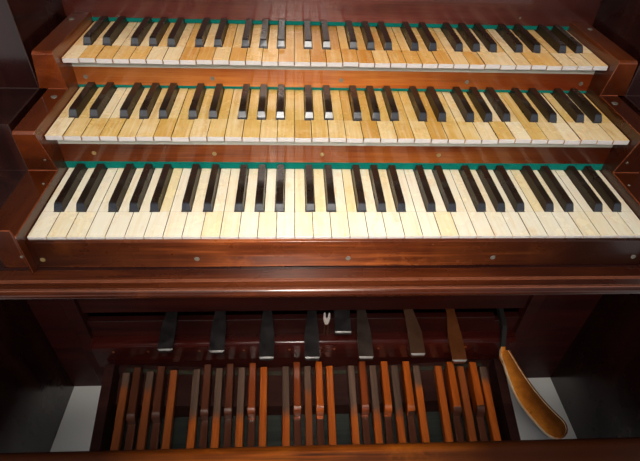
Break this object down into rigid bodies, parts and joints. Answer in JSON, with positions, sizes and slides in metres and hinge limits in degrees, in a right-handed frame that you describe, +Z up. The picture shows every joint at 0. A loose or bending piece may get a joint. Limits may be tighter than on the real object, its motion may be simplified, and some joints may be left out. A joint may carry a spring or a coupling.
{
  "type": "three-manual pipe organ console with pedalboard and bench",
  "caption": "Pipe organ console: stepped ivory keyboards in a mahogany case, a curved spreading pedalboard, iron composition pedals, a swell pedal and a bench",
  "frame": {"origin": "floor, under the middle of the whole's bounding box", "axes": "+X from bass to treble, +Y into the case, +Z up"},
  "size_m": [1.5, 1.096, 1.245],
  "materials": {
    "case_wood": "French-polished dark mahogany",
    "name_board_wood": "polished red mahogany",
    "slip_wood": "worn polished mahogany, orange brown",
    "frame_paint": "bare pale wood, grey with dust",
    "ivory": "aged ivory, yellowed key by key",
    "ebony": "polished ebony",
    "green_felt": "wool felt",
    "iron": "dark iron, worn bright at the edges",
    "bronze": "browned brass, worn bright along one edge",
    "frame_wood": "dark oak",
    "pedal_natural_wood": "orange-brown oak, worn",
    "pedal_sharp_wood": "dark red hardwood caps, worn at the nose",
    "bench_wood": "varnished oak"
  },
  "bodies": {
    "console": {"case_sides": "case_wood", "back_panel": "case_wood", "case_top": "case_wood", "name_board": "name_board_wood", "key_bed": "case_wood", "front_rail": "slip_wood", "key_slips": "slip_wood", "key_cheeks": "slip_wood", "key_frames": "frame_paint", "lower_naturals": "ivory", "lower_sharps": "ebony", "middle_naturals": "ivory", "middle_sharps": "ebony", "upper_naturals": "ivory", "upper_sharps": "ebony", "felt_strips": "green_felt", "kneeboard": "name_board_wood", "toe_rail": "name_board_wood", "lever_shaft": "iron", "pedal_frame": "frame_wood", "bench_seat": "bench_wood", "bench_frame": "bench_wood"},
    "swell_lever": {"swell_pedal": "bronze"},
    "short_lever_body": {"short_lever": "iron"},
    "composition_pedal_1_body": {"composition_pedal_1": "iron"},
    "composition_pedal_2_body": {"composition_pedal_2": "iron"},
    "composition_pedal_3_body": {"composition_pedal_3": "iron"},
    "composition_pedal_4_body": {"composition_pedal_4": "iron"},
    "composition_pedal_5_body": {"composition_pedal_5": "iron"},
    "composition_pedal_6_body": {"composition_pedal_6": "iron"},
    "composition_pedal_7_body": {"composition_pedal_7": "iron"},
    "pedal_key_01_body": {"pedal_key_01": "pedal_natural_wood"},
    "pedal_key_02_body": {"pedal_key_02": "pedal_sharp_wood"},
    "pedal_key_03_body": {"pedal_key_03": "pedal_natural_wood"},
    "pedal_key_04_body": {"pedal_key_04": "pedal_sharp_wood"},
    "pedal_key_05_body": {"pedal_key_05": "pedal_natural_wood"},
    "pedal_key_06_body": {"pedal_key_06": "pedal_natural_wood"},
    "pedal_key_07_body": {"pedal_key_07": "pedal_sharp_wood"},
    "pedal_key_08_body": {"pedal_key_08": "pedal_natural_wood"},
    "pedal_key_09_body": {"pedal_key_09": "pedal_sharp_wood"},
    "pedal_key_10_body": {"pedal_key_10": "pedal_natural_wood"},
    "pedal_key_11_body": {"pedal_key_11": "pedal_sharp_wood"},
    "pedal_key_12_body": {"pedal_key_12": "pedal_natural_wood"},
    "pedal_key_13_body": {"pedal_key_13": "pedal_natural_wood"},
    "pedal_key_14_body": {"pedal_key_14": "pedal_sharp_wood"},
    "pedal_key_15_body": {"pedal_key_15": "pedal_natural_wood"},
    "pedal_key_16_body": {"pedal_key_16": "pedal_sharp_wood"},
    "pedal_key_17_body": {"pedal_key_17": "pedal_natural_wood"},
    "pedal_key_18_body": {"pedal_key_18": "pedal_natural_wood"},
    "pedal_key_19_body": {"pedal_key_19": "pedal_sharp_wood"},
    "pedal_key_20_body": {"pedal_key_20": "pedal_natural_wood"},
    "pedal_key_21_body": {"pedal_key_21": "pedal_sharp_wood"},
    "pedal_key_22_body": {"pedal_key_22": "pedal_natural_wood"},
    "pedal_key_23_body": {"pedal_key_23": "pedal_sharp_wood"},
    "pedal_key_24_body": {"pedal_key_24": "pedal_natural_wood"},
    "pedal_key_25_body": {"pedal_key_25": "pedal_natural_wood"},
    "pedal_key_26_body": {"pedal_key_26": "pedal_sharp_wood"},
    "pedal_key_27_body": {"pedal_key_27": "pedal_natural_wood"},
    "pedal_key_28_body": {"pedal_key_28": "pedal_sharp_wood"},
    "pedal_key_29_body": {"pedal_key_29": "pedal_natural_wood"}
  },
  "joints": [
    {"name": "composition_pedal_1_press", "type": "hinge", "parent": "console", "child": "composition_pedal_1_body", "pos_m": [-0.38005, 0.328, 0.35], "axis": [1, 0, 0], "range_deg": [0, 10], "stiffness_Nm_per_rad": 20, "springref_deg": -5.16},
    {"name": "composition_pedal_2_press", "type": "hinge", "parent": "console", "child": "composition_pedal_2_body", "pos_m": [-0.26025, 0.328, 0.35], "axis": [1, 0, 0], "range_deg": [0, 10], "stiffness_Nm_per_rad": 20, "springref_deg": -5.16},
    {"name": "composition_pedal_3_press", "type": "hinge", "parent": "console", "child": "composition_pedal_3_body", "pos_m": [-0.14045, 0.328, 0.35], "axis": [1, 0, 0], "range_deg": [0, 10], "stiffness_Nm_per_rad": 20, "springref_deg": -5.16},
    {"name": "composition_pedal_4_press", "type": "hinge", "parent": "console", "child": "composition_pedal_4_body", "pos_m": [-0.02665, 0.328, 0.35], "axis": [1, 0, 0], "range_deg": [0, 10], "stiffness_Nm_per_rad": 20, "springref_deg": -5.16},
    {"name": "composition_pedal_5_press", "type": "hinge", "parent": "console", "child": "composition_pedal_5_body", "pos_m": [0.10115, 0.328, 0.35], "axis": [1, 0, 0], "range_deg": [0, 10], "stiffness_Nm_per_rad": 20, "springref_deg": -5.16},
    {"name": "composition_pedal_6_press", "type": "hinge", "parent": "console", "child": "composition_pedal_6_body", "pos_m": [0.22295, 0.328, 0.35], "axis": [1, 0, 0], "range_deg": [0, 10], "stiffness_Nm_per_rad": 20, "springref_deg": -5.16},
    {"name": "composition_pedal_7_press", "type": "hinge", "parent": "console", "child": "composition_pedal_7_body", "pos_m": [0.33475, 0.328, 0.35], "axis": [1, 0, 0], "range_deg": [0, 10], "stiffness_Nm_per_rad": 20, "springref_deg": -5.16},
    {"name": "short_lever_press", "type": "hinge", "parent": "console", "child": "short_lever_body", "pos_m": [0.05083, 0.328, 0.35], "axis": [1, 0, 0], "range_deg": [0, 10], "stiffness_Nm_per_rad": 20, "springref_deg": -5.16},
    {"name": "swell_press", "type": "hinge", "parent": "console", "child": "swell_lever", "pos_m": [0.47475, 0.328, 0.35], "axis": [1, 0, 0], "range_deg": [0, 7]},
    {"name": "pedal_key_01_press", "type": "hinge", "parent": "console", "child": "pedal_key_01_body", "pos_m": [-0.45325, -0.44091, 0.12329], "axis": [-0.9878, -0.1124, 0.1079], "range_deg": [0, 1.4], "stiffness_Nm_per_rad": 80, "springref_deg": -3.44},
    {"name": "pedal_key_02_press", "type": "hinge", "parent": "console", "child": "pedal_key_02_body", "pos_m": [-0.42723, -0.43802, 0.12019], "axis": [-0.9893, -0.1055, 0.1012], "range_deg": [0, 1.4], "stiffness_Nm_per_rad": 80, "springref_deg": -3.44},
    {"name": "pedal_key_03_press", "type": "hinge", "parent": "console", "child": "pedal_key_03_body", "pos_m": [-0.40119, -0.43531, 0.1173], "axis": [-0.9906, -0.0986, 0.0945], "range_deg": [0, 1.4], "stiffness_Nm_per_rad": 80, "springref_deg": -3.44},
    {"name": "pedal_key_04_press", "type": "hinge", "parent": "console", "child": "pedal_key_04_body", "pos_m": [-0.37513, -0.43279, 0.1146], "axis": [-0.9919, -0.0916, 0.0877], "range_deg": [0, 1.4], "stiffness_Nm_per_rad": 80, "springref_deg": -3.44},
    {"name": "pedal_key_05_press", "type": "hinge", "parent": "console", "child": "pedal_key_05_body", "pos_m": [-0.34905, -0.43046, 0.1121], "axis": [-0.9931, -0.0846, 0.081], "range_deg": [0, 1.4], "stiffness_Nm_per_rad": 80, "springref_deg": -3.44},
    {"name": "pedal_key_06_press", "type": "hinge", "parent": "console", "child": "pedal_key_06_body", "pos_m": [-0.29685, -0.42635, 0.1077], "axis": [-0.9952, -0.0706, 0.0675], "range_deg": [0, 1.4], "stiffness_Nm_per_rad": 80, "springref_deg": -3.44},
    {"name": "pedal_key_07_press", "type": "hinge", "parent": "console", "child": "pedal_key_07_body", "pos_m": [-0.27073, -0.42457, 0.1058], "axis": [-0.9961, -0.0636, 0.0608], "range_deg": [0, 1.4], "stiffness_Nm_per_rad": 80, "springref_deg": -3.44},
    {"name": "pedal_key_08_press", "type": "hinge", "parent": "console", "child": "pedal_key_08_body", "pos_m": [-0.24459, -0.42298, 0.1041], "axis": [-0.9969, -0.0566, 0.054], "range_deg": [0, 1.4], "stiffness_Nm_per_rad": 80, "springref_deg": -3.44},
    {"name": "pedal_key_09_press", "type": "hinge", "parent": "console", "child": "pedal_key_09_body", "pos_m": [-0.21845, -0.42158, 0.1026], "axis": [-0.9977, -0.0495, 0.0473], "range_deg": [0, 1.4], "stiffness_Nm_per_rad": 80, "springref_deg": -3.44},
    {"name": "pedal_key_10_press", "type": "hinge", "parent": "console", "child": "pedal_key_10_body", "pos_m": [-0.1923, -0.42037, 0.1013], "axis": [-0.9983, -0.0425, 0.0405], "range_deg": [0, 1.4], "stiffness_Nm_per_rad": 80, "springref_deg": -3.44},
    {"name": "pedal_key_11_press", "type": "hinge", "parent": "console", "child": "pedal_key_11_body", "pos_m": [-0.16613, -0.41934, 0.1002], "axis": [-0.9988, -0.0354, 0.0338], "range_deg": [0, 1.4], "stiffness_Nm_per_rad": 80, "springref_deg": -3.44},
    {"name": "pedal_key_12_press", "type": "hinge", "parent": "console", "child": "pedal_key_12_body", "pos_m": [-0.13997, -0.4185, 0.0993], "axis": [-0.9992, -0.0283, 0.027], "range_deg": [0, 1.4], "stiffness_Nm_per_rad": 80, "springref_deg": -3.44},
    {"name": "pedal_key_13_press", "type": "hinge", "parent": "console", "child": "pedal_key_13_body", "pos_m": [-0.08761, -0.41737, 0.0981], "axis": [-0.9998, -0.0142, 0.0135], "range_deg": [0, 1.4], "stiffness_Nm_per_rad": 80, "springref_deg": -3.44},
    {"name": "pedal_key_14_press", "type": "hinge", "parent": "console", "child": "pedal_key_14_body", "pos_m": [-0.06143, -0.41709, 0.0978], "axis": [-1, -0.0071, 0.0068], "range_deg": [0, 1.4], "stiffness_Nm_per_rad": 80, "springref_deg": -3.44},
    {"name": "pedal_key_15_press", "type": "hinge", "parent": "console", "child": "pedal_key_15_body", "pos_m": [-0.03525, -0.417, 0.0977], "axis": [-1, 0, 0], "range_deg": [0, 1.4], "stiffness_Nm_per_rad": 80, "springref_deg": -3.44},
    {"name": "pedal_key_16_press", "type": "hinge", "parent": "console", "child": "pedal_key_16_body", "pos_m": [-0.00907, -0.41709, 0.0978], "axis": [-1, 0.0071, -0.0068], "range_deg": [0, 1.4], "stiffness_Nm_per_rad": 80, "springref_deg": -3.44},
    {"name": "pedal_key_17_press", "type": "hinge", "parent": "console", "child": "pedal_key_17_body", "pos_m": [0.01711, -0.41737, 0.0981], "axis": [-0.9998, 0.0142, -0.0135], "range_deg": [0, 1.4], "stiffness_Nm_per_rad": 80, "springref_deg": -3.44},
    {"name": "pedal_key_18_press", "type": "hinge", "parent": "console", "child": "pedal_key_18_body", "pos_m": [0.06946, -0.4185, 0.0993], "axis": [-0.9992, 0.0283, -0.027], "range_deg": [0, 1.4], "stiffness_Nm_per_rad": 80, "springref_deg": -3.44},
    {"name": "pedal_key_19_press", "type": "hinge", "parent": "console", "child": "pedal_key_19_body", "pos_m": [0.09563, -0.41934, 0.1002], "axis": [-0.9988, 0.0354, -0.0338], "range_deg": [0, 1.4], "stiffness_Nm_per_rad": 80, "springref_deg": -3.44},
    {"name": "pedal_key_20_press", "type": "hinge", "parent": "console", "child": "pedal_key_20_body", "pos_m": [0.1218, -0.42037, 0.1013], "axis": [-0.9983, 0.0425, -0.0405], "range_deg": [0, 1.4], "stiffness_Nm_per_rad": 80, "springref_deg": -3.44},
    {"name": "pedal_key_21_press", "type": "hinge", "parent": "console", "child": "pedal_key_21_body", "pos_m": [0.14795, -0.42158, 0.1026], "axis": [-0.9977, 0.0495, -0.0473], "range_deg": [0, 1.4], "stiffness_Nm_per_rad": 80, "springref_deg": -3.44},
    {"name": "pedal_key_22_press", "type": "hinge", "parent": "console", "child": "pedal_key_22_body", "pos_m": [0.17409, -0.42298, 0.1041], "axis": [-0.9969, 0.0566, -0.054], "range_deg": [0, 1.4], "stiffness_Nm_per_rad": 80, "springref_deg": -3.44},
    {"name": "pedal_key_23_press", "type": "hinge", "parent": "console", "child": "pedal_key_23_body", "pos_m": [0.20023, -0.42457, 0.1058], "axis": [-0.9961, 0.0636, -0.0608], "range_deg": [0, 1.4], "stiffness_Nm_per_rad": 80, "springref_deg": -3.44},
    {"name": "pedal_key_24_press", "type": "hinge", "parent": "console", "child": "pedal_key_24_body", "pos_m": [0.22635, -0.42635, 0.1077], "axis": [-0.9952, 0.0706, -0.0675], "range_deg": [0, 1.4], "stiffness_Nm_per_rad": 80, "springref_deg": -3.44},
    {"name": "pedal_key_25_press", "type": "hinge", "parent": "console", "child": "pedal_key_25_body", "pos_m": [0.27855, -0.43046, 0.1121], "axis": [-0.9931, 0.0846, -0.081], "range_deg": [0, 1.4], "stiffness_Nm_per_rad": 80, "springref_deg": -3.44},
    {"name": "pedal_key_26_press", "type": "hinge", "parent": "console", "child": "pedal_key_26_body", "pos_m": [0.30463, -0.43279, 0.1146], "axis": [-0.9919, 0.0916, -0.0877], "range_deg": [0, 1.4], "stiffness_Nm_per_rad": 80, "springref_deg": -3.44},
    {"name": "pedal_key_27_press", "type": "hinge", "parent": "console", "child": "pedal_key_27_body", "pos_m": [0.33069, -0.43531, 0.1173], "axis": [-0.9906, 0.0986, -0.0945], "range_deg": [0, 1.4], "stiffness_Nm_per_rad": 80, "springref_deg": -3.44},
    {"name": "pedal_key_28_press", "type": "hinge", "parent": "console", "child": "pedal_key_28_body", "pos_m": [0.35673, -0.43802, 0.12019], "axis": [-0.9893, 0.1055, -0.1012], "range_deg": [0, 1.4], "stiffness_Nm_per_rad": 80, "springref_deg": -3.44},
    {"name": "pedal_key_29_press", "type": "hinge", "parent": "console", "child": "pedal_key_29_body", "pos_m": [0.38275, -0.44091, 0.12329], "axis": [-0.9878, 0.1124, -0.1079], "range_deg": [0, 1.4], "stiffness_Nm_per_rad": 80, "springref_deg": -3.44}
  ]
}
